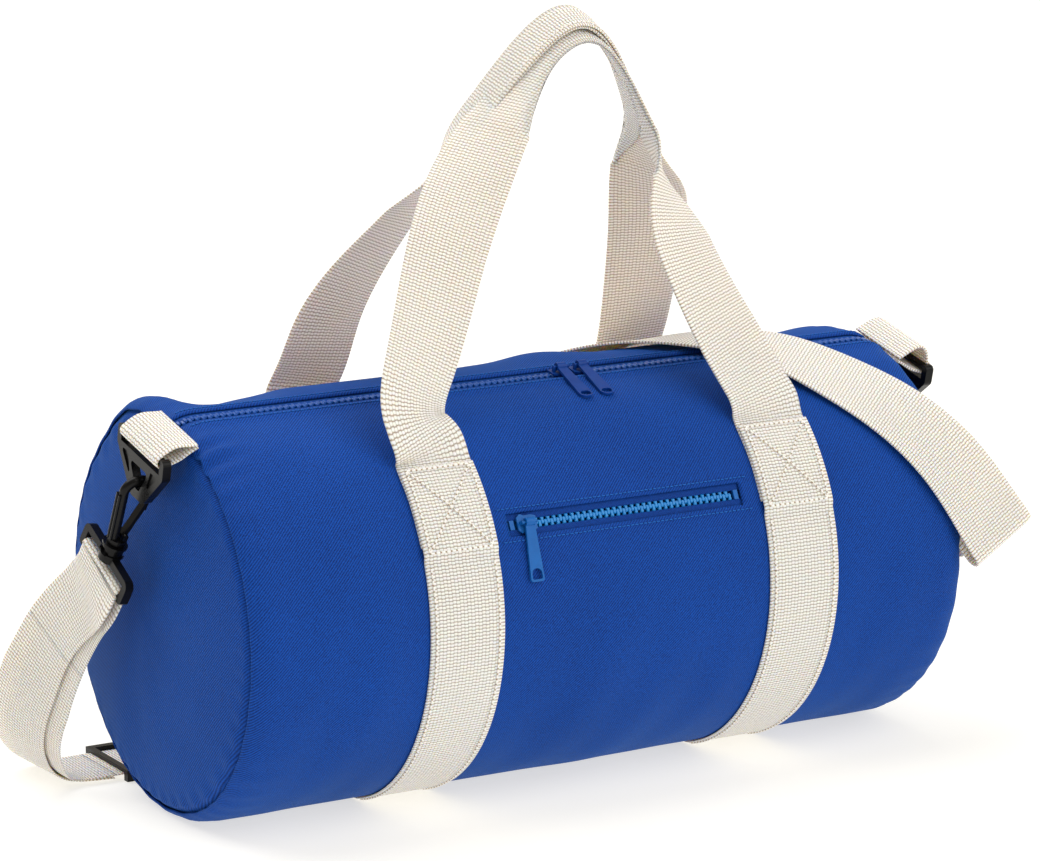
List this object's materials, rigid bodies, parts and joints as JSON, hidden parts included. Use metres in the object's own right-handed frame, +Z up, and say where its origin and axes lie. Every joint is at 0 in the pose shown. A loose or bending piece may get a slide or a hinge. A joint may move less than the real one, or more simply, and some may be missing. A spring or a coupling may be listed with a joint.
{
  "type": "barrel bag",
  "caption": "Barrel-shaped fabric holdall with webbing carry handles, a zipped top, a zipped front pocket and a clip-on shoulder strap.",
  "frame": {"origin": "on the floor under the middle of the part", "axes": "+X along the barrel towards its right end, -Y towards the pocket side, +Z up"},
  "size_m": [0.617, 0.2671, 0.4706],
  "materials": {
    "bag_fabric": "royal blue woven polyester",
    "webbing": "natural ribbed webbing",
    "zip_tape": "blue woven tape",
    "zip_teeth": "blue moulded plastic",
    "zip_metal": "blue lacquer",
    "clip_plastic": "black moulded plastic"
  },
  "bodies": {
    "bag": {"back_handle_ends": "webbing", "barrel_wrap": "bag_fabric", "front_handle_ends": "webbing", "left_band": "webbing", "left_end_panel": "bag_fabric", "left_ring_tab": "webbing", "left_seam_binding": "bag_fabric", "main_zip_tape_back": "zip_tape", "main_zip_tape_front": "zip_tape", "main_zip_teeth_back": "zip_teeth", "main_zip_teeth_front": "zip_teeth", "pocket_bag": "bag_fabric", "pocket_zip_stops": "zip_metal", "pocket_zip_tape_lower": "zip_tape", "pocket_zip_tape_upper": "zip_tape", "pocket_zip_teeth_lower": "zip_teeth", "pocket_zip_teeth_upper": "zip_teeth", "right_band": "webbing", "right_end_panel": "bag_fabric", "right_ring_tab": "webbing", "right_seam_binding": "bag_fabric", "strap_adjuster": "clip_plastic", "strap_left_drop": "webbing", "strap_left_return": "webbing", "strap_right_return": "webbing", "strap_run": "webbing"},
    "front_handle": {"front_handle": "webbing"},
    "back_handle": {"back_handle": "webbing"},
    "main_zip_left_slider": {"main_zip_left_slider": "zip_metal"},
    "main_zip_left_pull": {"main_zip_left_pull": "zip_metal"},
    "main_zip_right_slider": {"main_zip_right_slider": "zip_metal"},
    "main_zip_right_pull": {"main_zip_right_pull": "zip_metal"},
    "pocket_zip_slider": {"pocket_zip_slider": "zip_metal"},
    "pocket_zip_pull": {"pocket_zip_pull": "zip_metal"},
    "left_ring": {"left_d_ring": "clip_plastic"},
    "left_hook": {"left_hook": "clip_plastic"},
    "left_gate": {"left_hook_gate": "clip_plastic"},
    "left_strap_loop": {"left_strap_loop": "clip_plastic"},
    "right_ring": {"right_d_ring": "clip_plastic"},
    "right_hook": {"right_hook": "clip_plastic"},
    "right_gate": {"right_hook_gate": "clip_plastic"},
    "right_strap_loop": {"right_strap_loop": "clip_plastic"}
  },
  "joints": [
    {"name": "front_handle_swing", "type": "hinge", "parent": "bag", "child": "front_handle", "pos_m": [0, -0.08411, 0.22121], "axis": [1, 0, 0], "range_deg": [0, 110]},
    {"name": "back_handle_swing", "type": "hinge", "parent": "bag", "child": "back_handle", "pos_m": [0, 0.08411, 0.22121], "axis": [-1, 0, 0], "range_deg": [0, 110]},
    {"name": "main_zip_left_slide", "type": "slide", "parent": "bag", "child": "main_zip_left_slider", "axis": [1, 0, 0], "range_m": [-0.225, 0], "deforming": ["main_zip_teeth_front", "main_zip_teeth_back"]},
    {"name": "main_zip_left_pull_lift", "type": "hinge", "parent": "main_zip_left_slider", "child": "main_zip_left_pull", "pos_m": [0.0145, -0.02262, 0.25194], "axis": [-1, 0, 0], "range_deg": [0, 150]},
    {"name": "main_zip_right_slide", "type": "slide", "parent": "bag", "child": "main_zip_right_slider", "axis": [1, 0, 0], "range_m": [0, 0.2], "deforming": ["main_zip_teeth_front", "main_zip_teeth_back", "strap_run"]},
    {"name": "main_zip_right_pull_lift", "type": "hinge", "parent": "main_zip_right_slider", "child": "main_zip_right_pull", "pos_m": [0.0295, -0.02262, 0.25194], "axis": [-1, 0, 0], "range_deg": [0, 150]},
    {"name": "pocket_zip_slide", "type": "slide", "parent": "bag", "child": "pocket_zip_slider", "axis": [1, 0, 0], "range_m": [0, 0.13], "deforming": ["pocket_zip_teeth_lower", "pocket_zip_teeth_upper"]},
    {"name": "pocket_zip_pull_lift", "type": "hinge", "parent": "pocket_zip_slider", "child": "pocket_zip_pull", "pos_m": [-0.0625, -0.11605, 0.1828], "axis": [-1, 0, 0], "range_deg": [0, 150]},
    {"name": "left_ring_swing", "type": "hinge", "parent": "bag", "child": "left_ring", "pos_m": [-0.27, -0.02564, 0.23475], "axis": [0, 0.9744, 0.225], "range_deg": [0, 60], "deforming": ["strap_left_drop", "strap_left_return"]},
    {"name": "left_hook_rock", "type": "hinge", "parent": "left_ring", "child": "left_hook", "pos_m": [-0.27, -0.02067, 0.21321], "axis": [-1, 0, 0], "range_deg": [-12, 12], "deforming": ["strap_left_drop", "strap_left_return"]},
    {"name": "left_gate_press", "type": "hinge", "parent": "left_hook", "child": "left_gate", "pos_m": [-0.27376, -0.00171, 0.17756], "axis": [0, -0.8829, -0.4695], "range_deg": [0, 14], "stiffness_Nm_per_rad": 0.02},
    {"name": "left_swivel", "type": "hinge", "parent": "left_hook", "child": "left_strap_loop", "pos_m": [-0.27133, -0.01673, 0.2058], "axis": [0.1564, -0.4637, 0.8721], "range_deg": [-30, 30], "deforming": ["strap_left_drop", "strap_left_return"]},
    {"name": "right_ring_swing", "type": "hinge", "parent": "bag", "child": "right_ring", "pos_m": [0.27, -0.02564, 0.23475], "axis": [0, -0.9744, -0.225], "range_deg": [0, 60], "deforming": ["strap_right_return"]},
    {"name": "right_hook_rock", "type": "hinge", "parent": "right_ring", "child": "right_hook", "pos_m": [0.27, -0.02067, 0.21321], "axis": [1, 0, 0], "range_deg": [-12, 12], "deforming": ["strap_right_return"]},
    {"name": "right_gate_press", "type": "hinge", "parent": "right_hook", "child": "right_gate", "pos_m": [0.27447, -0.03446, 0.17533], "axis": [0, 0.9397, -0.342], "range_deg": [0, 14], "stiffness_Nm_per_rad": 0.02},
    {"name": "right_swivel", "type": "hinge", "parent": "right_hook", "child": "right_strap_loop", "pos_m": [0.27148, -0.02354, 0.20535], "axis": [-0.1736, 0.3368, 0.9254], "range_deg": [-30, 30], "deforming": ["strap_right_return"]}
  ]
}
